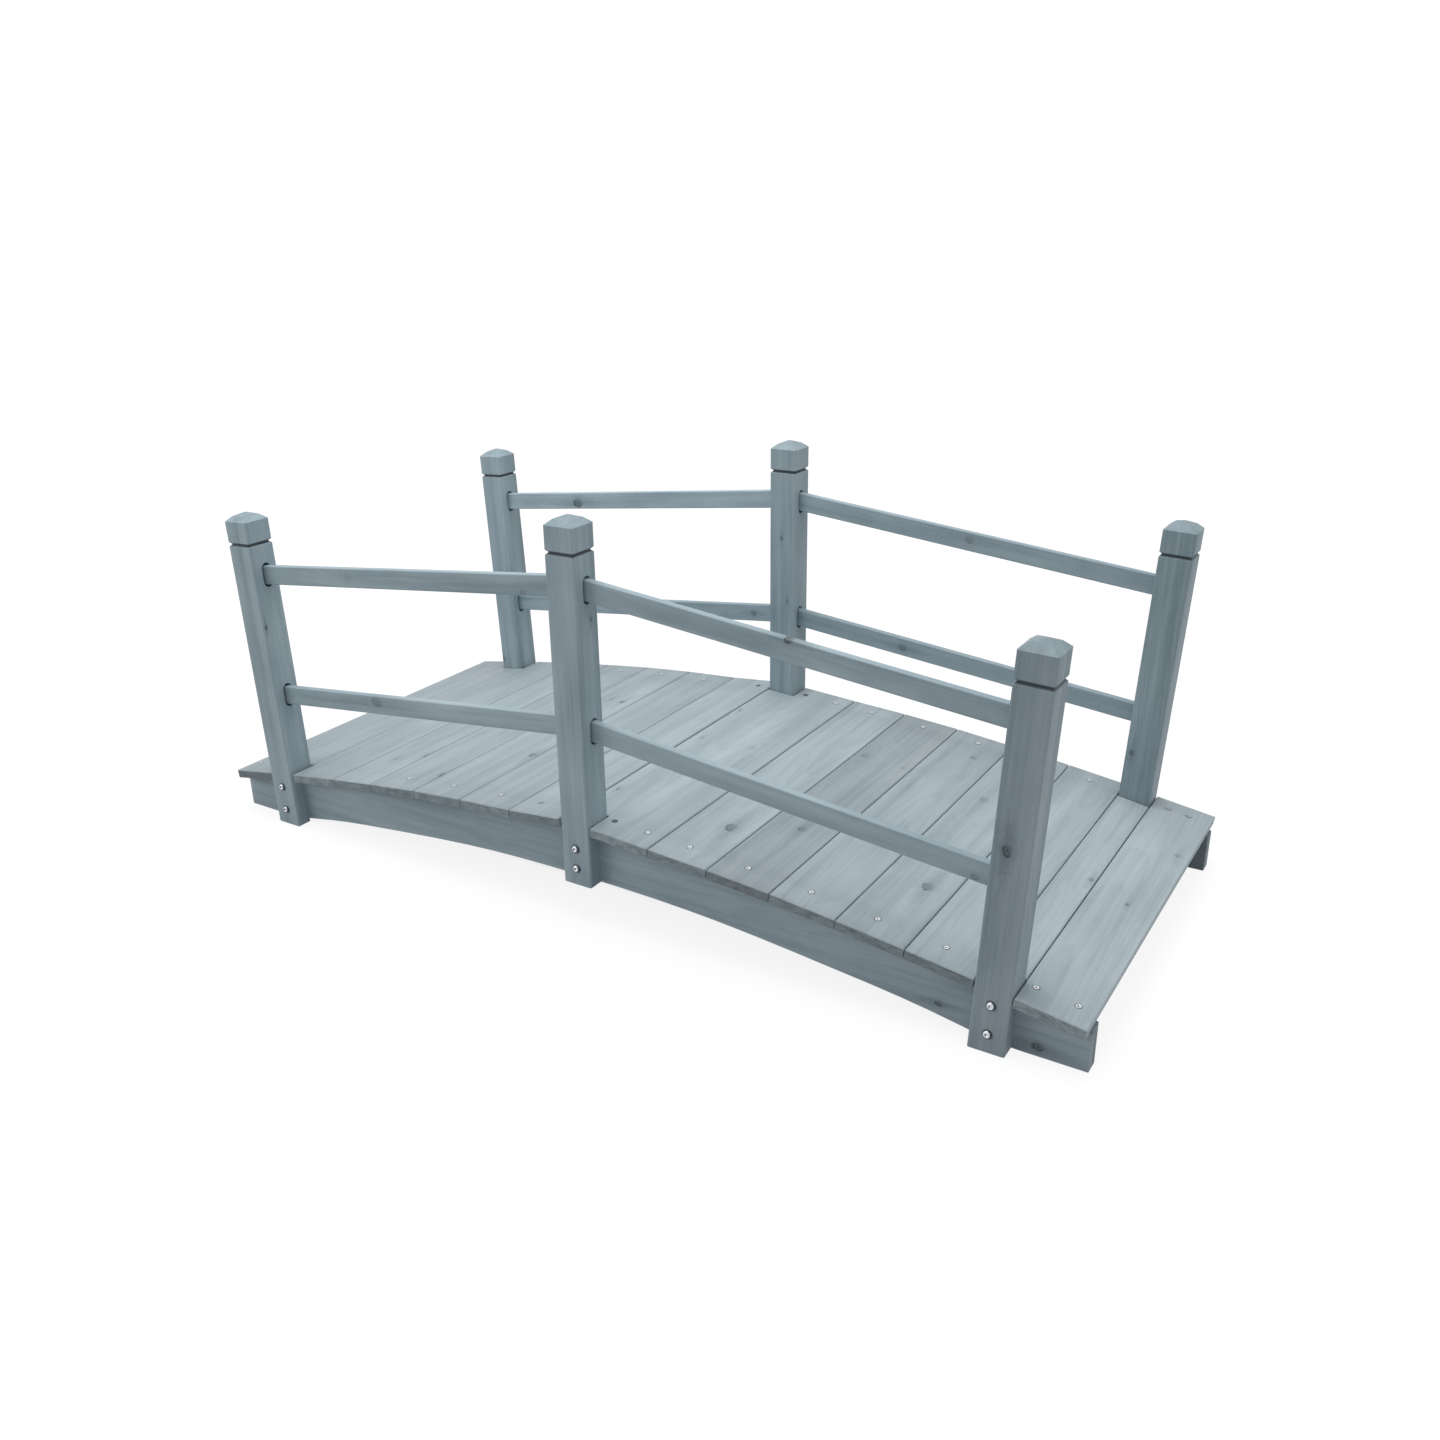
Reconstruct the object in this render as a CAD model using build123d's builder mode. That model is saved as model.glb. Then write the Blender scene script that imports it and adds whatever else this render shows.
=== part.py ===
from build123d import *
import os
from math import atan2, cos, degrees, hypot, radians, sin, tan

os.makedirs("parts", exist_ok=True)

# A garden moon bridge of stained softwood: two arched side beams, six posts
# lapped over them, two rails in each bay and fifteen boards across the walk.
# X runs along the bridge, Y across it, Z up. The origin is on the ground under
# the middle of the walk. All sizes are in millimetres.

# Posts: square timber, all six alike above the foot. Heights run up from the
# base, which is the foot of an end post; a middle post's tail goes on below it
post_size = 48.5
post_round = 2.5
post_inner_y = 283.5
post_outer_y = post_inner_y + post_size
post_length = 539.0
mid_post_base_z = 65.5
mid_post_tail = 7.5
end_post_foot_x = 629.0
end_post_lean = 2.6
groove_height = 490.0
groove_half = 3.5
groove_depth = 4.0
shoulder_height = 527.0
facet_height = 534.5
facet_inset = 9.0
peak_size = 6.0
mortise_heights = {"upper": 437.5, "lower": 231.5}
mortise_width = 18.0
mortise_length = 40.0
mortise_depth = 18.0
mortise_y = 305.0

# Side beams, each as thick as the lap cut in the posts
beam_thick = 23.5
beam_inner_y = post_inner_y
beam_outer_y = beam_inner_y + beam_thick
beam_half = 750.0
foot_start_x = 668.0
lap_clear = 0.3

# Underside of a beam, from the middle out to where the flat foot begins
underside = [(0.0, 58.0), (200.0, 53.0), (400.0, 34.6), (560.0, 13.8)]

# Walk boards
board_thick = 14.0
board_gap = 1.5
crown_gap = 2.0
board_half = 330.0
board_ease = 1.2
notch_clear = 1.5
notch_y = post_inner_y - notch_clear

# Top of the walk at each seam: x, height of the board before and after it
seams = [
    (-750.0, 73.7, 73.7),
    (-603.5, 97.6, 97.6),
    (-503.0, 111.8, 111.8),
    (-417.0, 122.9, 122.9),
    (-321.5, 134.1, 134.1),
    (-224.0, 142.5, 142.5),
    (-126.0, 148.6, 148.6),
    (-28.5, 157.6, 159.6),
    (125.0, 148.8, 148.8),
    (222.0, 142.7, 142.7),
    (320.0, 134.5, 134.5),
    (417.5, 123.4, 123.4),
    (515.0, 110.7, 110.7),
    (608.0, 97.6, 97.6),
    (658.5, 88.2, 88.2),
    (750.0, 73.7, 73.7),
]

# Rails
rail_thick = 12.4
rail_height = 30.4
rail_round = 2.0
rail_offset = 1.2
rail_end_clear = 0.3


def lean_of(side):
    """Outward lean of a post: none in the middle, mirrored at the ends."""
    return radians(end_post_lean) * side


def post_point(side, across, up):
    """World x and z of a point given in a post's own frame."""
    lean = lean_of(side)
    foot_x = side * end_post_foot_x
    base_z = mid_post_base_z if side == 0 else 0.0
    x = foot_x + across * cos(lean) + up * sin(lean)
    z = base_z - across * sin(lean) + up * cos(lean)
    return x, z


def board_line(index):
    """Ends of a board's top surface, and its underside, as x and z."""
    x0, _, z0 = seams[index]
    x1, z1, _ = seams[index + 1]
    run = hypot(x1 - x0, z1 - z0)
    along = ((x1 - x0) / run, (z1 - z0) / run)
    normal = (-along[1], along[0])
    return (x0, z0), (x1, z1), along, normal


def cross(p, d, q, e):
    """Point where two lines meet in the x, z plane."""
    det = d[0] * e[1] - d[1] * e[0]
    t = ((q[0] - p[0]) * e[1] - (q[1] - p[1]) * e[0]) / det
    return (p[0] + d[0] * t, p[1] + d[1] * t)


def beam_top():
    """The top edge of a beam: the undersides of the boards, end to end."""
    lines = []
    for index in range(len(seams) - 1):
        start, end, along, normal = board_line(index)
        low = (start[0] - normal[0] * board_thick, start[1] - normal[1] * board_thick)
        lines.append((low, along))
    first, last = lines[0], lines[-1]
    points = [cross(first[0], first[1], (-beam_half, 0.0), (0.0, 1.0))]
    for index in range(1, len(lines)):
        before, after = lines[index - 1], lines[index]
        x, z_before, z_after = seams[index]
        if z_before == z_after:
            points.append(cross(before[0], before[1], after[0], after[1]))
        else:
            points.append(cross(before[0], before[1], (x, 0.0), (0.0, 1.0)))
            points.append(cross(after[0], after[1], (x + 0.2, 0.0), (0.0, 1.0)))
    points.append(cross(last[0], last[1], (beam_half, 0.0), (0.0, 1.0)))
    return points


top_edge = beam_top()


def beam_top_at(x):
    """Height of a beam's top edge at x."""
    for (x0, z0), (x1, z1) in zip(top_edge, top_edge[1:]):
        if x0 <= x <= x1:
            return z0 + (z1 - z0) * (x - x0) / (x1 - x0)
    return top_edge[-1][1]


# Side beams: an arched plank with a flat foot at each end
near_half = [(-x, z) for x, z in reversed(underside)]
arch_points = [(-foot_start_x, 0.0)] + near_half + underside[1:] + [(foot_start_x, 0.0)]

for name, y_start in (("near_beam", -beam_outer_y), ("far_beam", beam_inner_y)):
    with BuildPart() as beam:
        with BuildSketch(Plane.XZ.offset(-y_start)):
            with BuildLine():
                Polyline((-foot_start_x, 0.0), (-beam_half, 0.0), *top_edge, (beam_half, 0.0), (foot_start_x, 0.0))
                Spline(*arch_points, tangents=[(1.0, 0.0), (1.0, 0.0)])
            make_face()
        extrude(amount=-beam_thick)
    beam.part.label = name
    export_step(beam.part, f"parts/{name}.step")

# Posts: shaft, V groove and faceted cap, mortised for the rails and lapped
# over the outer face of the beam
half = post_size / 2
neck = post_size - 2 * groove_depth
facet = post_size - 2 * facet_inset

for side_name, side in (("left", -1), ("middle", 0), ("right", 1)):
    lean = lean_of(side)
    foot_rise = half * tan(lean)
    tail = mid_post_tail if side == 0 else 0.0
    lap_edges = []
    for across in (-half - 1, half + 1):
        guess = 90.0
        for _ in range(20):
            x, z = post_point(side, across, guess)
            guess += beam_top_at(x) + lap_clear - z
        lap_edges.append(guess)
    if side == 0:
        lap_edges = [max(lap_edges) + 2.4] * 2
    for row_name, row in (("near", -1), ("far", 1)):
        name = f"{row_name}_{side_name}_post"
        with BuildPart() as post:
            with BuildSketch(Plane.XZ):
                with BuildLine():
                    Polyline(
                        (-half, -foot_rise - tail), (half, foot_rise - tail),
                        (half, groove_height - groove_half),
                        (-half, groove_height - groove_half),
                        close=True,
                    )
                make_face()
            extrude(amount=half, both=True)
            fillet(post.edges().filter_by(Axis.Z), radius=post_round)
            with BuildSketch(Plane.XY.offset(groove_height - groove_half)):
                RectangleRounded(post_size, post_size, post_round)
            with BuildSketch(Plane.XY.offset(groove_height)):
                RectangleRounded(neck, neck, post_round)
            loft()
            with BuildSketch(Plane.XY.offset(groove_height)):
                RectangleRounded(neck, neck, post_round)
            with BuildSketch(Plane.XY.offset(groove_height + groove_half)):
                RectangleRounded(post_size, post_size, post_round)
            loft()
            with BuildSketch(Plane.XY.offset(groove_height + groove_half)):
                RectangleRounded(post_size, post_size, post_round)
            extrude(amount=shoulder_height - groove_height - groove_half)
            with BuildSketch(Plane.XY.offset(shoulder_height)):
                RectangleRounded(post_size, post_size, post_round)
            with BuildSketch(Plane.XY.offset(facet_height)):
                RectangleRounded(facet, facet, post_round)
            loft()
            with BuildSketch(Plane.XY.offset(facet_height)):
                RectangleRounded(facet, facet, post_round)
            with BuildSketch(Plane.XY.offset(post_length)):
                RectangleRounded(peak_size, peak_size, post_round)
            loft()
            # lap for the beam, on the half of the post that faces the walk
            lap_start = half if row < 0 else -half + beam_thick
            with BuildSketch(Plane.XZ.offset(-lap_start)):
                with BuildLine():
                    Polyline(
                        (-half - 1, -tail - 10), (half + 1, -tail - 10),
                        (half + 1, lap_edges[1]), (-half - 1, lap_edges[0]),
                        close=True,
                    )
                make_face()
            extrude(amount=beam_thick, mode=Mode.SUBTRACT)
            # round-ended mortises for the rails
            slot_y = row * (mortise_y - post_inner_y - half)
            faces = [-side] if side else [-1, 1]
            for facing in faces:
                mouth = Plane(
                    origin=(facing * half, 0, 0),
                    x_dir=(0, 1, 0),
                    z_dir=(facing, 0, 0),
                )
                with BuildSketch(mouth):
                    for up in mortise_heights.values():
                        with Locations((slot_y, up * facing)):
                            SlotOverall(mortise_length, mortise_width, rotation=90)
                extrude(amount=-mortise_depth, mode=Mode.SUBTRACT)
        base_z = mid_post_base_z if side == 0 else 0.0
        centre_y = row * (post_inner_y + half)
        place = Location((side * end_post_foot_x, centre_y, base_z), (0, degrees(lean), 0))
        body = post.part.moved(place)
        body.label = name
        export_step(body, f"parts/{name}.step")

# Rails: straight battens from a middle post to an end post, thinner than their
# mortises, a little off the middle of them, their ends against the bottoms
for side_name, side in (("left", -1), ("right", 1)):
    for level, up in mortise_heights.items():
        x0, z0 = post_point(0, side * half, up)
        x1, z1 = post_point(side, -side * half, up)
        tilt = atan2(z1 - z0, x1 - x0)
        slope = atan2(abs(z1 - z0), abs(x1 - x0))
        tongue = mortise_depth - rail_end_clear - rail_height / 2 * tan(slope)
        reach = hypot(x1 - x0, z1 - z0) + 2 * tongue
        for row_name, row in (("near", -1), ("far", 1)):
            name = f"{row_name}_{side_name}_{level}_rail"
            with BuildPart() as rail:
                with BuildSketch(Plane.YZ.offset(-reach / 2)):
                    RectangleRounded(rail_thick, rail_height, rail_round)
                extrude(amount=reach)
            middle = ((x0 + x1) / 2, row * mortise_y + rail_offset, (z0 + z1) / 2)
            turn = -degrees(tilt) if side > 0 else 180 - degrees(tilt)
            body = rail.part.moved(Location(middle, (0, turn, 0)))
            body.label = name
            export_step(body, f"parts/{name}.step")

# Walk boards, numbered from the left end, notched or cut short at the posts
for index in range(len(seams) - 1):
    start, end, along, normal = board_line(index)
    full = hypot(end[0] - start[0], end[1] - start[1])
    trim_start = board_gap / 2 + (crown_gap if index == 7 else 0.0)
    trim_end = board_gap / 2 + (crown_gap if index == 6 else 0.0)
    length = full - trim_start - trim_end
    mid = (full + trim_start - trim_end) / 2
    centre = (start[0] + along[0] * mid, start[1] + along[1] * mid)
    narrow = index == 13
    half_y = notch_y if narrow else board_half
    with BuildPart() as board:
        with BuildSketch():
            Rectangle(length, 2 * half_y)
            if index in (0, 7):
                if index == 0:
                    post_edge = post_point(-1, -half, 92.0)[0] - notch_clear
                    notch_from = post_edge - centre[0]
                    notch_to = length
                else:
                    notch_from = -length
                    notch_to = half + notch_clear - centre[0]
                with Locations(((notch_from + notch_to) / 2, 0)):
                    for row in (-1, 1):
                        with Locations((0, row * (notch_y + 50))):
                            Rectangle(notch_to - notch_from, 100, mode=Mode.SUBTRACT)
        extrude(amount=-board_thick)
        chamfer(board.faces().sort_by(Axis.Z)[-1].edges(), board_ease)
    angle = -degrees(atan2(along[1], along[0]))
    body = board.part.moved(Location((centre[0], 0, centre[1]), (0, angle, 0)))
    name = f"board_{index + 1:02d}"
    body.label = name
    export_step(body, f"parts/{name}.step")
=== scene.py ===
import random
from math import atan2, cos, floor, hypot, pi, radians, sin, tan

import bmesh
import bpy
from mathutils import Euler, Matrix, Vector


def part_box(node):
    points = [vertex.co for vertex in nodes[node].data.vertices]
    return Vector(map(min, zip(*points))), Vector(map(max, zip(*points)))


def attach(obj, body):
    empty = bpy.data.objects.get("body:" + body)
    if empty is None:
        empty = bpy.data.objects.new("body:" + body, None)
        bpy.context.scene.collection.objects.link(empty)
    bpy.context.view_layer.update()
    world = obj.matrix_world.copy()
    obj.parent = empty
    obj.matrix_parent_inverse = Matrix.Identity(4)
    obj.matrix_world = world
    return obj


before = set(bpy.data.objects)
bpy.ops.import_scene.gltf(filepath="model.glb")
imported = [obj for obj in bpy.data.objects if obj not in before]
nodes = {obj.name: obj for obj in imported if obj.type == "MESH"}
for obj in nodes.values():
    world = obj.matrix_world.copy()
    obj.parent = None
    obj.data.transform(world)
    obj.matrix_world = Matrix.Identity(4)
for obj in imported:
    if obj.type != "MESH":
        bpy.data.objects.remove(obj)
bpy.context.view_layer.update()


# Side beams: two softwood planks sawn to the low arch, one under each edge of the
# walk, standing on flat feet. The grain runs straight along the bridge, so the
# sawn curve cuts across it. All the timber has one thin coat of blue-grey stain.
class Wiring:
    """Puts nodes in one node tree and joins them up."""

    def __init__(self, tree):
        self.tree = tree

    def join(self, node, socket, value):
        if isinstance(value, bpy.types.NodeSocket):
            self.tree.links.new(value, node.inputs[socket])
        else:
            node.inputs[socket].default_value = value

    def put(self, kind, links, **settings):
        node = self.tree.nodes.new(kind)
        for key, value in settings.items():
            setattr(node, key, value)
        for socket, value in links.items():
            self.join(node, socket, value)
        return node

    def math(self, operation, a, b=0.0):
        return self.put("ShaderNodeMath", {0: a, 1: b}, operation=operation).outputs[0]

    def add(self, *terms):
        total = terms[0]
        for term in terms[1:]:
            total = self.math("ADD", total, term)
        return total

    def times(self, a, b):
        return self.math("MULTIPLY", a, b)

    def less(self, a, b):
        return self.math("SUBTRACT", a, b)

    def length(self, a, b):
        return self.math("SQRT", self.add(self.times(a, a), self.times(b, b)))

    def noise(self, vector, scale, place, detail=3.0, rough=0.55):
        """Noise stretched along the grain, centred on zero."""
        links = {"Vector": vector, "Location": place, "Scale": scale}
        stretched = self.put("ShaderNodeMapping", links).outputs[0]
        links = {"Vector": stretched, "Scale": 1.0, "Detail": detail, "Roughness": rough}
        return self.less(self.put("ShaderNodeTexNoise", links).outputs["Fac"], 0.5)

    def fade(self, value, start, end, low=0.0, high=1.0):
        """Runs smoothly from low to high as value goes from start to end."""
        links = {"Value": value, "From Min": start, "From Max": end, "To Min": low, "To Max": high}
        return self.put("ShaderNodeMapRange", links, interpolation_type="SMOOTHSTEP").outputs[0]

    def blend(self, amount, a, b):
        node = self.put("ShaderNodeMix", {}, data_type="RGBA")
        self.join(node, 0, amount)
        self.join(node, 6, a)
        self.join(node, 7, b)
        return node.outputs[2]


class Coat(Wiring):
    """One new material, whose look is wired up node by node."""

    def __init__(self, name):
        self.material = bpy.data.materials.new(name)
        self.material.use_nodes = True
        super().__init__(self.material.node_tree)
        self.shader = self.tree.nodes["Principled BSDF"]


STAIN_DARK = (0.235, 0.300, 0.332)
STAIN_MID = (0.352, 0.428, 0.466)
STAIN_PALE = (0.452, 0.528, 0.560)
STAIN_END = (0.150, 0.196, 0.218)
# the near black of a knot's heart, also the colour that painted shade is drawn in
KNOT_HEART_AND_SHADE = (0.052, 0.070, 0.080)
COOL_CAST = (0.985, 1.030, 1.060)
RING_WIDTH = 0.0046


def tinted(rgb, shade, cast=(1.0, 1.0, 1.0)):
    return (rgb[0] * shade * cast[0], rgb[1] * shade * cast[1], rgb[2] * shade * cast[2], 1.0)


def knot_marks(wood, along, across, up, waver, knots, centre, turn):
    """Each knot's heart, its darker surround, and how far it pushes the rings aside."""
    upright = Euler(turn, "XYZ").to_matrix().transposed()
    push = 0.0
    heart = 0.0
    surround = 0.0
    for x, y, z, size, weight, branch in knots:
        spot = upright @ (Vector((x, y, z)) - Vector(centre))
        du = wood.less(along, spot.x)
        dv = wood.less(across, spot.y) if branch == "up" else wood.less(up, spot.z)
        round_off = wood.add(wood.length(wood.times(du, 0.72), dv), wood.times(waver, size * 1.1))
        drawn_out = wood.add(wood.length(wood.times(du, 0.20), dv), wood.times(waver, size * 2.4))
        push = wood.add(push, wood.fade(drawn_out, size * 4.0, 0.0, 0.0, size * 2.2))
        disc = wood.fade(round_off, size * 1.20, size * 0.55, 0.0, 0.36 * weight)
        from_rim = wood.math("ABSOLUTE", wood.less(round_off, size * 0.78))
        one_side = wood.fade(wood.add(dv, wood.times(du, -0.6)), -size * 0.9, size * 0.7, 0.10, 0.62 * weight)
        rim = wood.times(wood.fade(from_rim, size * 0.42, 0.0), one_side)
        pith = wood.fade(round_off, size * 0.42, size * 0.08, 0.0, 0.34 * weight)
        heart = wood.math("MAXIMUM", heart, wood.add(disc, rim, pith))
        smear = wood.fade(drawn_out, size * 2.1, size * 0.2, 0.0, 0.70 * weight)
        collar = wood.fade(round_off, size * 2.8, size * 0.8, 0.0, 0.60 * weight)
        surround = wood.math("MAXIMUM", surround, wood.math("MAXIMUM", smear, collar))
    return push, heart, surround


def timber(
    name, centre, turn, seed, shade, knots, figure, streaks, cast, ends=1.0, end_stain=STAIN_END, painted_shade_and_stain=None
):
    """Stained softwood whose own axes are x along the grain, y across and z up.

    The board is cut from a tree whose growth rings lie round a pith line below
    it, so its faces show arched figure, its edges straight lines, and its ends
    the rings. A knot is (x, y, z, size, weight, the way its branch ran).

    Figure is how clearly the rings show, streaks how uneven the coat is, cast
    its tint, and ends how light the sawn ends are. The last argument gives a mask
    of painted shade: how much darker the piece is painted in its own corners, cuts
    and recesses, where shade falls; in a post's groove it is partly end-grain stain.
    """
    draw = random.Random(seed)
    wood = Coat(name)
    coords = wood.put("ShaderNodeTexCoord", {})
    moved = wood.put("ShaderNodeVectorMath", {0: coords.outputs["Object"], 1: centre}, operation="SUBTRACT")
    turning = {"rotation_type": "EULER_XYZ", "invert": True}
    links = {"Vector": moved.outputs[0], "Rotation": turn}
    local = wood.put("ShaderNodeVectorRotate", links, **turning).outputs[0]
    links = {"Vector": coords.outputs["Normal"], "Rotation": turn}
    facing = wood.put("ShaderNodeVectorRotate", links, **turning).outputs[0]
    axes = wood.put("ShaderNodeSeparateXYZ", {0: local})
    along, across, up = axes.outputs[0], axes.outputs[1], axes.outputs[2]
    sawn_end = wood.put("ShaderNodeSeparateXYZ", {0: facing}).outputs[0]
    sawn_end = wood.fade(wood.math("ABSOLUTE", sawn_end), 0.70, 0.90)
    place = tuple(draw.uniform(-40.0, 40.0) for _ in range(3))
    waver = wood.noise(local, (210.0, 330.0, 330.0), place, 4.0, 0.6)
    push, heart, surround = knot_marks(wood, along, across, up, waver, knots, centre, turn)

    # growth rings, which wander along the piece and part round the knots
    wander = wood.noise(local, (3.0, 10.0, 10.0), place, 2.0)
    pith_side = draw.uniform(-0.035, 0.035)
    pith_depth = draw.uniform(0.045, 0.095)
    side_lean = draw.uniform(-0.045, 0.045)
    depth_lean = draw.uniform(-0.05, 0.05)
    side = wood.add(across, -pith_side, wood.times(along, side_lean), wood.times(wander, 0.030))
    depth = wood.add(up, pith_depth, wood.times(along, depth_lean), wood.times(wander, 0.022))
    rings = wood.times(wood.add(wood.length(side, depth), push), 1.0 / RING_WIDTH)
    years = wood.put("ShaderNodeCombineXYZ", {0: wood.times(rings, 0.4), 1: place[0]}).outputs[0]
    rings = wood.add(rings, wood.times(wood.noise(years, (1.0, 1.0, 1.0), place, 2.0), 2.6))
    year = wood.math("FRACT", rings)
    late_wood = wood.times(wood.math("POWER", year, 2.2), wood.fade(year, 1.0, 0.86))

    # the coat lies thicker in some bands and thinner in others
    bands = wood.noise(local, (1.5, 46.0, 46.0), place, 3.0, 0.55)
    clouds = wood.noise(local, (6.0, 15.0, 15.0), place, 3.0, 0.55)
    brushed = wood.noise(local, (3.2, 165.0, 165.0), place, 3.0, 0.6)
    fibres = wood.noise(local, (16.0, 620.0, 620.0), place, 3.0, 0.6)
    pores = wood.noise(local, (110.0, 1300.0, 1300.0), place, 2.0, 0.5)
    tone = wood.add(
        0.52,
        wood.times(bands, 0.95 * streaks),
        wood.times(clouds, 0.85 * streaks),
        wood.times(brushed, 0.50 * streaks),
        wood.times(fibres, 0.34),
        wood.times(wood.times(late_wood, wood.fade(clouds, -0.2, 0.15, 0.35, 1.0)), -0.22 * figure),
        wood.fade(pores, 0.14, 0.32, 0.0, -0.20),
    )
    ramp = wood.put("ShaderNodeValToRGB", {"Fac": tone})
    ramp.color_ramp.elements[0].color = tinted(STAIN_DARK, shade, cast)
    ramp.color_ramp.elements[1].color = tinted(STAIN_PALE, shade, cast)
    ramp.color_ramp.elements.new(0.5).color = tinted(STAIN_MID, shade, cast)
    face = ramp.outputs["Color"]

    # the open ends drink more stain, blotched where the saw tore them
    torn = wood.noise(local, (75.0, 62.0, 120.0), place, 6.0, 0.70)
    end_tone = wood.fade(wood.add(torn, wood.times(late_wood, -0.16), 0.04), -0.24, 0.22)
    end_pale = tinted(STAIN_MID, shade * 0.90 * ends, cast)
    end_face = wood.blend(end_tone, tinted(end_stain, shade * ends, cast), end_pale)
    face = wood.blend(sawn_end, face, end_face)
    if knots:
        face = wood.blend(wood.times(surround, 0.62), face, tinted(STAIN_END, shade, cast))
        face = wood.blend(heart, face, tinted(KNOT_HEART_AND_SHADE, 1.0))
    # painted shade: the piece is painted darker where shade falls in its corners and cuts (in a post's groove
    # partly end-grain stain)
    if painted_shade_and_stain:
        face = wood.blend(painted_shade_and_stain(wood, coords.outputs["Object"], waver), face, tinted(KNOT_HEART_AND_SHADE, 1.0))
    wood.join(wood.shader, "Base Color", face)
    wood.join(wood.shader, "Roughness", wood.fade(fibres, -0.2, 0.2, 0.56, 0.74))
    relief = wood.add(wood.times(fibres, 0.8), wood.times(late_wood, 0.20), wood.times(heart, -0.5))
    relief = wood.add(relief, wood.times(wood.times(torn, sawn_end), 1.5))
    bump = wood.put("ShaderNodeBump", {"Strength": 0.35, "Distance": 0.0005, "Height": relief})
    wood.join(wood.shader, "Normal", bump.outputs[0])
    return wood.material


def dress(node, material):
    """Gives a piece of timber its coat."""
    slots = nodes[node].data.materials
    if not len(slots):
        slots.append(material)
    for index in range(len(slots)):
        slots[index] = material


def middle_of(node):
    low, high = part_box(node)
    return tuple((low + high) / 2)


BEAM_TURN = (radians(-90), 0.0, 0.0)
# each beam's shade and knots
BEAM_COATS = {
    "near_beam": (
        0.94,
        ((0.5557, -0.307, 0.031, 0.0040, 1.2, "up"), (0.6867, -0.307, 0.0138, 0.0060, 1.5, "up")),
    ),
    "far_beam": (0.90, ()),
}
# a beam's top edge falls from the crown by BEAM_DROP times |x| to the power BEAM_BEND
BEAM_CROWN = 0.1437
BEAM_DROP = 0.1305
BEAM_BEND = 1.5
BEAM_INNER = 0.2957
BEAM_SKIN = 0.002


def beam_painted_shade(wood, place, waver):
    """Painted shade: darker along the top edge under the boards and on the inner face, shaded by the walk."""
    spot = wood.put("ShaderNodeSeparateXYZ", {0: place})
    bend = wood.math("POWER", wood.math("ABSOLUTE", spot.outputs[0]), BEAM_BEND)
    top_edge = wood.less(BEAM_CROWN, wood.times(bend, BEAM_DROP))
    below = wood.add(wood.less(top_edge, spot.outputs[2]), wood.times(waver, 0.006))
    # painted shade along the top edge, under the overhanging boards
    edge = wood.add(wood.fade(below, 0.020, 0.0, 0.0, 0.26), wood.fade(below, 0.007, 0.002, 0.0, 0.24))
    from_middle = wood.math("ABSOLUTE", spot.outputs[1])
    # painted shade on the inner face, which lies in the shade of the walk
    inner = wood.fade(from_middle, BEAM_INNER + BEAM_SKIN, BEAM_INNER, 0.0, 0.55)
    return wood.math("MAXIMUM", edge, inner)


for seed, (beam, (shade, knots)) in enumerate(BEAM_COATS.items(), start=11):
    look = {"figure": 0.9, "streaks": 1.4, "cast": COOL_CAST, "painted_shade_and_stain": beam_painted_shade}
    dress(beam, timber(beam, middle_of(beam), BEAM_TURN, seed, shade, knots, **look))


# Posts: six square planed posts with rounded corners, half lapped over the outside
# of the beams. Each is cut from one stick, with a V groove sawn round it under a
# faceted cap. The end posts lean outward.
END_LEAN = radians(2.6)
# each post's shade and knots
POST_COATS = {
    "near_left_post": (0.95, ((-0.6210, -0.3262, 0.3550, 0.0024, 1.4, "up"),)),
    "near_middle_post": (0.93, ((0.0242, -0.3002, 0.4612, 0.0022, 1.2, "up"),)),
    "near_right_post": (0.79, ((0.6364, -0.332, 0.2828, 0.0062, 1.4, "across"),)),
    "far_left_post": (0.97, ((-0.6545, 0.2835, 0.1100, 0.0034, 1.0, "across"),)),
    "far_middle_post": (
        0.90,
        (
            (-0.0012, 0.2835, 0.4413, 0.0024, 1.0, "across"),
            (0.0110, 0.2835, 0.3300, 0.0016, 1.0, "across"),
        ),
    ),
    "far_right_post": (0.84, ((0.6226, 0.2835, 0.1724, 0.0036, 0.9, "across"),)),
}
# an end post is measured from the ground; on a middle post the groove is measured from
# the base height, and the bolts from the foot, which reaches 7.5 mm lower
GROOVE_HEIGHT = 0.490
END_BOLT_HEIGHTS = {"lower": 0.027, "upper": 0.069}
MIDDLE_BOLT_HEIGHTS = {"lower": 0.0267, "upper": 0.0587}
MIDDLE_FOOT_HEIGHT = 0.058
MIDDLE_BASE_HEIGHT = 0.0655
END_POST_FOOT = 0.629
# how far from the groove and the bolts the painted shade starts, and where it is full;
# in the groove it is partly the darker stain of the end grain
GROOVE_REACH = (0.0034, 0.0012)
BOLT_RING = (0.0088, 0.0058)


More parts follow.
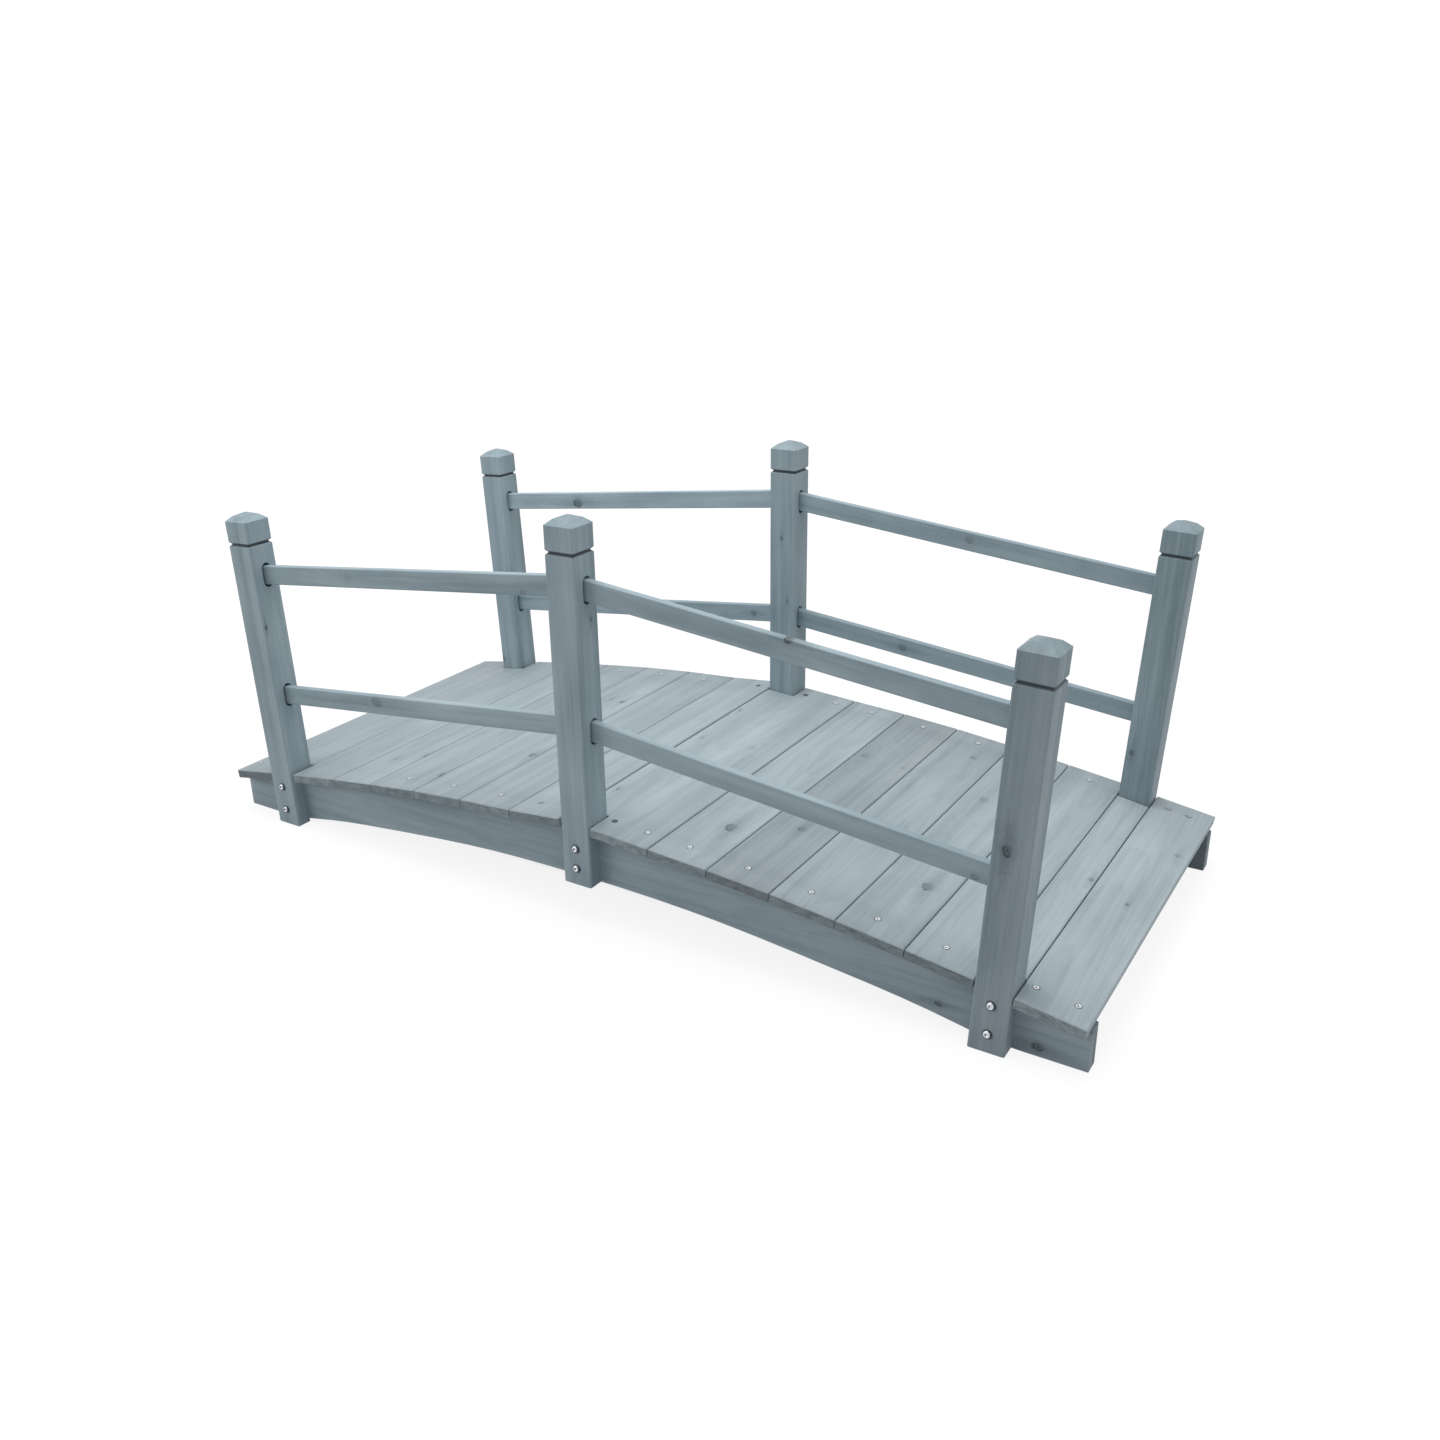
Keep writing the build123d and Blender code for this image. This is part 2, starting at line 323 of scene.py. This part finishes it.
def post_shade_and_stain(lean, base):
    """Painted shade in the groove and round the two bolts of a post;
    in the groove it is partly the darker stain of the end grain.
    """

    def painted_shade_and_stain(wood, place, waver):
        spot = wood.put("ShaderNodeSeparateXYZ", {0: place})
        x, z = spot.outputs[0], spot.outputs[2]
        foot = END_POST_FOOT * ((lean > 0) - (lean < 0))
        out = wood.less(x, foot)
        up_post = wood.add(wood.times(z, cos(lean)), wood.times(out, sin(lean)), -base)
        aside = wood.less(wood.times(out, cos(lean)), wood.times(z, sin(lean)))
        # painted shade in the groove, partly end-grain stain
        from_groove = wood.math("ABSOLUTE", wood.less(up_post, GROOVE_HEIGHT))
        amount = wood.fade(from_groove, *GROOVE_REACH, 0.0, 0.88)
        levels = END_BOLT_HEIGHTS.values() if lean else MIDDLE_BOLT_HEIGHTS.values()
        for level in levels:
            bolt_up = level if lean else level + MIDDLE_FOOT_HEIGHT - MIDDLE_BASE_HEIGHT
            # painted shade in a ring round each bolt head
            ring = wood.add(wood.length(aside, wood.less(up_post, bolt_up)), wood.times(waver, 0.003))
            amount = wood.math("MAXIMUM", amount, wood.fade(ring, *BOLT_RING, 0.0, 0.62))
        return amount

    return painted_shade_and_stain


for seed, (post, (shade, knots)) in enumerate(POST_COATS.items(), start=31):
    lean = END_LEAN * (("right" in post) - ("left" in post))
    post_turn = (0.0, radians(-90) + lean, 0.0)
    painted_shade_and_stain = post_shade_and_stain(lean, 0.0 if lean else MIDDLE_BASE_HEIGHT)
    look = {"figure": 1.1, "streaks": 1.5, "cast": COOL_CAST, "end_stain": STAIN_DARK, "painted_shade_and_stain": painted_shade_and_stain}
    dress(post, timber(post, middle_of(post), post_turn, seed, shade, knots, **look))


# Post bolts: two zinc plated bolts hold each post to its beam. Their heads are
# pressed domes with a socket for a key, seated flat on the outer face of the post.
BOLT_FACETS = 24
# half a bolt's outline: how far from its middle, and how far out from the post
BOLT_OUTLINE = (
    (0.0, -0.0004),
    (0.0056, -0.0004),
    (0.0060, 0.0006),
    (0.0058, 0.0014),
    (0.0051, 0.0026),
    (0.0039, 0.0034),
    (0.0029, 0.0037),
    (0.0025, 0.0036),
    (0.0022, 0.0012),
    (0.0, 0.0011),
)
SOCKET_EDGE = 0.0027
SOCKET_MIDDLE = 0.001
SOCKET_FLOOR = 0.001
SOCKET_ROUND = 0.90
KEY_TURN = 0.4


def turned(outline, facets):
    """A round solid turned about z from half of its outline."""
    form = bmesh.new()
    points = [form.verts.new((reach, 0.0, height)) for reach, height in outline]
    lines = [form.edges.new(pair) for pair in zip(points, points[1:])]
    bmesh.ops.spin(
        form,
        geom=points + lines,
        cent=(0.0, 0.0, 0.0),
        axis=(0.0, 0.0, 1.0),
        angle=2 * pi,
        steps=facets,
        use_merge=True,
    )
    bmesh.ops.remove_doubles(form, verts=form.verts, dist=1e-6)
    bmesh.ops.recalc_face_normals(form, faces=form.faces)
    return form


def bright_steel(name, tint, roughness, outward):
    """Zinc plate, mottled and a little worn, with painted shade: faces turned from the light
    are painted near black, round the rim, and on a bolt most on its lower and right-hand side.
    """
    plate = Coat(name)
    coords = plate.put("ShaderNodeTexCoord", {})
    spangle = plate.noise(coords.outputs["Object"], (700.0, 700.0, 700.0), (3.0, 7.0, 1.0), 4.0, 0.6)
    worn = tuple(0.62 * c for c in tint)
    shine = plate.blend(plate.fade(spangle, -0.25, 0.20), worn + (1.0,), tint + (1.0,))
    facing = plate.put("ShaderNodeSeparateXYZ", {0: coords.outputs["Normal"]}).outputs
    # painted shade: faces turned from the light blend into the near black (0.055, 0.070, 0.080)
    if outward == "y":
        lower = plate.add(plate.times(facing[2], 0.34), plate.times(facing[0], -0.22))
        lit_facing = plate.fade(plate.add(plate.math("ABSOLUTE", facing[1]), lower), 0.62, 1.0)
    else:
        lit_facing = plate.fade(facing[2], 0.72, 0.97)
    shine = plate.blend(lit_facing, (0.055, 0.070, 0.080, 1.0), shine)
    plate.join(plate.shader, "Base Color", shine)
    plate.join(plate.shader, "Roughness", plate.fade(spangle, -0.2, 0.2, roughness + 0.12, roughness))
    plate.shader.inputs["Metallic"].default_value = 1.0
    return plate.material


def finish_piece(form, name, material):
    """Turns a form into a smooth piece of the bridge that rides with it."""
    mesh = bpy.data.meshes.new(name)
    form.to_mesh(mesh)
    form.free()
    mesh.materials.append(material)
    for polygon in mesh.polygons:
        polygon.use_smooth = True
    piece = bpy.data.objects.new(name, mesh)
    bpy.context.scene.collection.objects.link(piece)
    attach(piece, "root")


BOLT_STEEL = bright_steel("bolt_zinc", (0.74, 0.77, 0.80), 0.18, "y")
POST_OUTER = 0.332
for post in POST_COATS:
    outward = -1 if post.startswith("near") else 1
    along_bridge = ("right" in post) - ("left" in post)
    for level in ("lower", "upper"):
        if along_bridge:
            bolt_z = END_BOLT_HEIGHTS[level]
            bolt_x = along_bridge * (END_POST_FOOT + bolt_z * tan(END_LEAN))
        else:
            bolt_z = MIDDLE_FOOT_HEIGHT + MIDDLE_BOLT_HEIGHTS[level]
            bolt_x = 0.0
        head = turned(BOLT_OUTLINE, BOLT_FACETS)
        for corner in head.verts:
            reach = hypot(corner.co.x, corner.co.y)
            if SOCKET_MIDDLE < reach < SOCKET_EDGE and corner.co.z > SOCKET_FLOOR:
                around = atan2(corner.co.y, corner.co.x)
                sixth = around - floor(around / (pi / 3)) * pi / 3 - pi / 6
                corner.co.xy *= SOCKET_ROUND / cos(sixth)
        seat = Matrix.Translation((bolt_x, outward * POST_OUTER, bolt_z))
        seat = seat @ Matrix.Rotation(radians(-90) * outward, 4, "X")
        seat = seat @ Matrix.Rotation(KEY_TURN * bolt_x, 4, "Z")
        bmesh.ops.transform(head, matrix=seat, verts=head.verts)
        finish_piece(head, f"{post}_{level}_bolt", BOLT_STEEL)


# Rails: two planed battens a side in each bay, run straight from post to post and
# let into round ended mortises. Their long edges are rounded.
RAIL_DEPTH = 0.0304
# each rail's shade and knots
RAIL_COATS = {
    "near_left_upper_rail": (
        0.96,
        (
            (-0.0842, -0.310, 0.4865, 0.0045, 0.5, "up"),
            (-0.0668, -0.310, 0.4817, 0.0035, 0.5, "up"),
            (-0.4318, -0.310, 0.4614, 0.0050, 0.25, "up"),
        ),
    ),
    "near_left_lower_rail": (0.96, ((-0.4006, -0.310, 0.2617, 0.0082, 0.60, "up"),)),
    "near_right_upper_rail": (0.98, ((0.3347, -0.310, 0.4840, 0.0046, 1.3, "up"),)),
    "near_right_lower_rail": (0.95, ((0.5927, -0.310, 0.2260, 0.0042, 0.6, "up"),)),
    "far_left_upper_rail": (1.18, ((-0.4521, 0.300, 0.4529, 0.0082, 1.1, "up"),)),
    "far_left_lower_rail": (0.94, ((-0.0658, 0.300, 0.2922, 0.0045, 0.8, "up"),)),
    "far_right_upper_rail": (0.92, ((0.3316, 0.300, 0.4733, 0.0058, 0.5, "up"),)),
    "far_right_lower_rail": (0.87, ((0.2251, 0.300, 0.2740, 0.0056, 0.8, "up"),)),
}
for seed, (rail, (shade, knots)) in enumerate(RAIL_COATS.items(), start=51):
    low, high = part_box(rail)
    fall = atan2(high.z - low.z - RAIL_DEPTH, high.x - low.x)
    rail_turn = (radians(-90), fall if "right" in rail else -fall, 0.0)
    look = {"figure": 1.0, "streaks": 1.4, "cast": COOL_CAST}
    dress(rail, timber(rail, middle_of(rail), rail_turn, seed, shade, knots, **look))


# Walk boards: fifteen planed boards laid side by side across the beams, their
# grain across the bridge and their edges eased. The open ends show dark end grain.
BOARD_TURN = (0.0, 0.0, radians(90))
BOARD_SEED = 71
WARM_CAST = (1.012, 1.000, 0.990)
# how light each board and its ends are, from board_01 on
BOARD_SHADE = (0.90, 0.95, 0.99, 0.98, 1.00, 0.97, 1.02, 1.01, 1.03, 0.82, 0.95, 0.98, 1.03, 1.06, 1.06)
BOARD_ENDS = (0.66, 1.00, 0.84, 0.78, 0.90, 0.95, 0.74, 1.05, 0.84, 0.78, 0.86, 0.78, 0.72, 0.85, 1.00)
# where each seam lies along the bridge, and the height of the walk there
SEAMS = (
    (-0.7500, 0.0737),
    (-0.6035, 0.0976),
    (-0.5030, 0.1118),
    (-0.4170, 0.1229),
    (-0.3215, 0.1341),
    (-0.2240, 0.1425),
    (-0.1260, 0.1486),
    (-0.0285, 0.1576),
    (0.1250, 0.1488),
    (0.2220, 0.1427),
    (0.3200, 0.1345),
    (0.4175, 0.1234),
    (0.5150, 0.1107),
    (0.6080, 0.0976),
    (0.6585, 0.0882),
    (0.7500, 0.0737),
)
CROWN_BOARD = 7
CROWN_RISE = 0.0020
# each knot's x, y, size and weight
WALK_KNOTS = (
    (-0.248, 0.138, 0.0050, 0.80),
    (-0.278, 0.143, 0.0030, 0.70),
    (-0.235, -0.137, 0.0058, 0.85),
    (0.240, 0.133, 0.0064, 0.35),
    (0.450, 0.116, 0.0066, 0.40),
    (0.188, -0.206, 0.0085, 0.95),
    (0.480, -0.174, 0.0080, 0.85),
    (0.272, -0.148, 0.0050, 0.75),
    (-0.323, -0.260, 0.0058, 0.75),
    (-0.420, -0.195, 0.0062, 0.50),
    (-0.465, -0.223, 0.0044, 0.45),
    (0.382, 0.243, 0.0048, 0.55),
    (0.308, 0.131, 0.0034, 0.40),
    (0.652, 0.004, 0.0040, 0.75),
    (0.710, -0.023, 0.0024, 0.90),
    (0.733, 0.163, 0.0046, 0.55),
    (-0.017, 0.167, 0.0024, 0.90),
    (0.077, 0.048, 0.0040, 0.30),
    (-0.010, 0.032, 0.0026, 0.60),
    (-0.013, -0.204, 0.0030, 0.70),
    (0.420, -0.145, 0.0030, 0.35),
)
NEAR_ROW = -0.2905
FAR_ROW = 0.2985
SCREW_RING = (0.0066, 0.0040)
# each screw's x, and its finish
NEAR_SCREWS = {
    -0.735: "zinc",
    -0.367: "zinc",
    -0.270: "zinc",
    -0.173: "zinc",
    -0.095: "dull",
    0.042: "dark",
    0.100: "zinc",
    0.171: "zinc",
    0.266: "zinc",
    0.363: "zinc",
    0.460: "zinc",
    0.555: "zinc",
    0.673: "zinc",
    0.726: "zinc",
}
FAR_SCREWS = {
    -0.735: "zinc",
    -0.367: "zinc",
    -0.270: "zinc",
    -0.173: "zinc",
    -0.056: "dark",
    0.042: "dark",
    0.102: "zinc",
    0.171: "zinc",
    0.269: "zinc",
    0.368: "zinc",
    0.460: "zinc",
    0.558: "zinc",
    0.683: "dull",
    0.715: "dull",
}


def screw_painted_shade(left, right):
    """Painted shade in the thin ring round each screw of a board, where the wood meets the head."""
    spots = [(x, NEAR_ROW) for x in NEAR_SCREWS if left < x <= right]
    spots += [(x, FAR_ROW) for x in FAR_SCREWS if left < x <= right]

    def painted_shade_and_stain(wood, place, waver):
        at = wood.put("ShaderNodeSeparateXYZ", {0: place})
        amount = 0.0
        for x, y in spots:
            off = wood.length(wood.less(at.outputs[0], x), wood.less(at.outputs[1], y))
            # painted shade in a ring just outside the screw head
            ring = wood.fade(wood.add(off, wood.times(waver, 0.003)), *SCREW_RING, 0.0, 0.55)
            amount = wood.math("MAXIMUM", amount, ring)
        return amount

    return painted_shade_and_stain if spots else None


boards = [node for node in sorted(nodes) if node.startswith("board_")]
for number, board in enumerate(boards):
    seed = BOARD_SEED + number
    left, right = SEAMS[number][0], SEAMS[number + 1][0]
    centre = middle_of(board)
    knots = [(x, y, centre[2], size, weight, "up") for x, y, size, weight in WALK_KNOTS if left < x <= right]
    look = {"figure": 1.0, "streaks": 1.0, "cast": WARM_CAST, "ends": BOARD_ENDS[number]}
    look["painted_shade_and_stain"] = screw_painted_shade(left, right)
    dress(board, timber(board, centre, BOARD_TURN, seed, BOARD_SHADE[number], knots, **look))


# Board screws: countersunk wood screws, driven just flush through the boards into
# the beams. Most boards have one at each end, and board_08 and board_15 have two.
# A few are dull or dark.
SCREW_FACETS = 16
# half a screw's outline: how far from its middle, and how far up from the board
SCREW_OUTLINE = (
    (0.0, -0.0020),
    (0.0024, -0.0016),
    (0.0039, -0.0002),
    (0.0040, 0.0003),
    (0.0036, 0.0005),
    (0.0022, 0.0005),
    (0.0014, 0.0001),
    (0.0008, -0.0009),
    (0.0, -0.0010),
)
SCREW_STEEL = {
    "zinc": bright_steel("screw_zinc", (0.80, 0.83, 0.85), 0.26, "z"),
    "dull": bright_steel("screw_dull", (0.46, 0.50, 0.52), 0.40, "z"),
    "dark": bright_steel("screw_dark", (0.075, 0.090, 0.100), 0.45, "z"),
}


def walk_at(x):
    """Height and slope of the walk's top face at x."""
    for number, (start, end) in enumerate(zip(SEAMS, SEAMS[1:])):
        if start[0] < x <= end[0]:
            rise = CROWN_RISE if number == CROWN_BOARD else 0.0
            slope = atan2(end[1] - start[1] - rise, end[0] - start[0])
            return start[1] + rise + (x - start[0]) * tan(slope), slope


for row_name, row_y, row in (("near", NEAR_ROW, NEAR_SCREWS), ("far", FAR_ROW, FAR_SCREWS)):
    for number, (screw_x, finish) in enumerate(row.items(), start=1):
        screw_z, slope = walk_at(screw_x)
        head = turned(SCREW_OUTLINE, SCREW_FACETS)
        seat = Matrix.Translation((screw_x, row_y, screw_z)) @ Matrix.Rotation(-slope, 4, "Y")
        bmesh.ops.transform(head, matrix=seat, verts=head.verts)
        finish_piece(head, f"{row_name}_screw_{number:02d}", SCREW_STEEL[finish])


# Studio: a plain white floor that keeps a faint shadow, a white backdrop, an even
# sky, a broad lamp overhead, and two weaker ones at the front left and the right.
FLOOR_HALF = 14.0
FLOOR_SINK = 0.0005
FLOOR_GREY = 0.42
FLOOR_GLOW = 0.87
FLOOR_KEEP = 0.18
FAR_KEEP = 0.05
GLOW_FADE = (0.9, 2.6)
KEEP_FADE = (0.9, 3.4)
# a shadow is painted on the floor under the walk, so that the gaps between boards don't shine
UNDER_X = (0.68, 0.52)
UNDER_Y = (0.24, 0.13)
UNDER_PAINTED_SHADOW = 0.92
SKY_LIGHT = 0.44
WHITE = (1.0, 1.0, 1.0, 1.0)


def seen_directly(wiring):
    """One for rays from the camera, a mirror or glass, and zero for rays of light."""
    path = wiring.put("ShaderNodeLightPath", {}).outputs
    mirrored = wiring.math("MAXIMUM", path["Is Camera Ray"], path["Is Glossy Ray"])
    return wiring.math("MAXIMUM", mirrored, path["Is Transmission Ray"])


floor_form = bmesh.new()
bmesh.ops.create_grid(floor_form, x_segments=1, y_segments=1, size=FLOOR_HALF)
bmesh.ops.translate(floor_form, verts=floor_form.verts, vec=(0.0, 0.0, -FLOOR_SINK))
floor_mesh = bpy.data.meshes.new("floor")
floor_form.to_mesh(floor_mesh)
floor_form.free()
studio_floor = bpy.data.objects.new("floor", floor_mesh)
bpy.context.scene.collection.objects.link(studio_floor)
paint = Coat("floor_paint")
spot = paint.put("ShaderNodeTexCoord", {}).outputs["Object"]
away = paint.put("ShaderNodeVectorMath", {0: spot}, operation="LENGTH").outputs["Value"]
under = paint.put("ShaderNodeSeparateXYZ", {0: spot}).outputs
under_x = paint.fade(paint.math("ABSOLUTE", under[0]), *UNDER_X)
under_y = paint.fade(paint.math("ABSOLUTE", under[1]), *UNDER_Y)
# painted shadow: the floor's glow is dimmed under the walk
lit = paint.less(1.0, paint.times(paint.times(under_x, under_y), UNDER_PAINTED_SHADOW))
glow_level = paint.times(paint.fade(away, *GLOW_FADE, FLOOR_GLOW, 1.0), lit)
glow = paint.put("ShaderNodeEmission", {"Color": WHITE, "Strength": glow_level})
keep_tone = paint.fade(away, *KEEP_FADE, FLOOR_KEEP, FAR_KEEP)
keep_grey = paint.put("ShaderNodeCombineColor", {0: keep_tone, 1: keep_tone, 2: keep_tone})
keep = paint.put("ShaderNodeBsdfDiffuse", {"Color": keep_grey.outputs[0]})
white_look = paint.put("ShaderNodeAddShader", {0: glow.outputs[0], 1: keep.outputs[0]})
grey_look = paint.put("ShaderNodeBsdfDiffuse", {"Color": (FLOOR_GREY, FLOOR_GREY, FLOOR_GREY, 1.0)})
links = {0: seen_directly(paint), 1: grey_look.outputs[0], 2: white_look.outputs[0]}
both_looks = paint.put("ShaderNodeMixShader", links)
paint.join(paint.tree.nodes["Material Output"], "Surface", both_looks.outputs[0])
floor_mesh.materials.append(paint.material)

world = bpy.data.worlds.new("studio")
bpy.context.scene.world = world
world.use_nodes = True
sky = Wiring(world.node_tree)
levels = {"Value": seen_directly(sky), "To Min": SKY_LIGHT, "To Max": 1.0}
strength = sky.put("ShaderNodeMapRange", levels).outputs["Result"]
backdrop = sky.tree.nodes["Background"]
sky.join(backdrop, "Color", WHITE)
sky.join(backdrop, "Strength", strength)

# each lamp's place, what it is aimed at, its size and its watts
LAMPS = {
    "overhead_lamp": ((-0.3, 0.1, 3.7), (0.0, 0.0, 0.1), 2.6, 84.0),
    "front_left_lamp": ((-1.9, -2.3, 1.5), (-0.3, 0.0, 0.3), 1.6, 15.0),
    "right_lamp": ((2.7, -0.1, 1.3), (0.3, 0.0, 0.3), 1.2, 6.5),
}
for lamp_name, (stand, aim, size, watts) in LAMPS.items():
    lamp_data = bpy.data.lights.new(lamp_name, "AREA")
    lamp_data.energy = watts
    lamp_data.size = size
    lamp = bpy.data.objects.new(lamp_name, lamp_data)
    lamp.location = stand
    lamp.rotation_euler = (Vector(aim) - Vector(stand)).to_track_quat("-Z", "Y").to_euler()
    bpy.context.scene.collection.objects.link(lamp)


# Camera: stands in front of the right end, a little under a metre up, at the
# viewpoint worked out from the bridge's own lines.
VIEWPOINT = (1.06527, -1.65826, 0.99673)
YAW, PITCH, ROLL = radians(33.37), radians(-22.21), radians(-1.36)
FOCAL_PIXELS = 1307.99
CENTRE_PIXEL = (683.09, 726.33)
FRAME_PIXELS = 1440
SENSOR_WIDTH = 36.0
ahead = Vector((-sin(YAW) * cos(PITCH), cos(YAW) * cos(PITCH), sin(PITCH)))
level_right = Vector((cos(YAW), sin(YAW), 0.0))
level_up = level_right.cross(ahead)
camera_right = cos(ROLL) * level_right + sin(ROLL) * level_up
camera_up = -sin(ROLL) * level_right + cos(ROLL) * level_up
camera_data = bpy.data.cameras.new("camera")
camera_data.sensor_width = SENSOR_WIDTH
camera_data.lens = FOCAL_PIXELS / FRAME_PIXELS * SENSOR_WIDTH
camera_data.shift_x = (FRAME_PIXELS / 2 - CENTRE_PIXEL[0]) / FRAME_PIXELS
camera_data.shift_y = (CENTRE_PIXEL[1] - FRAME_PIXELS / 2) / FRAME_PIXELS
camera = bpy.data.objects.new("camera", camera_data)
aim = Matrix((camera_right, camera_up, -ahead)).transposed()
camera.matrix_world = Matrix.Translation(Vector(VIEWPOINT)) @ aim.to_4x4()
bpy.context.scene.collection.objects.link(camera)
bpy.context.scene.camera = camera
bpy.context.scene.view_settings.view_transform = "Standard"
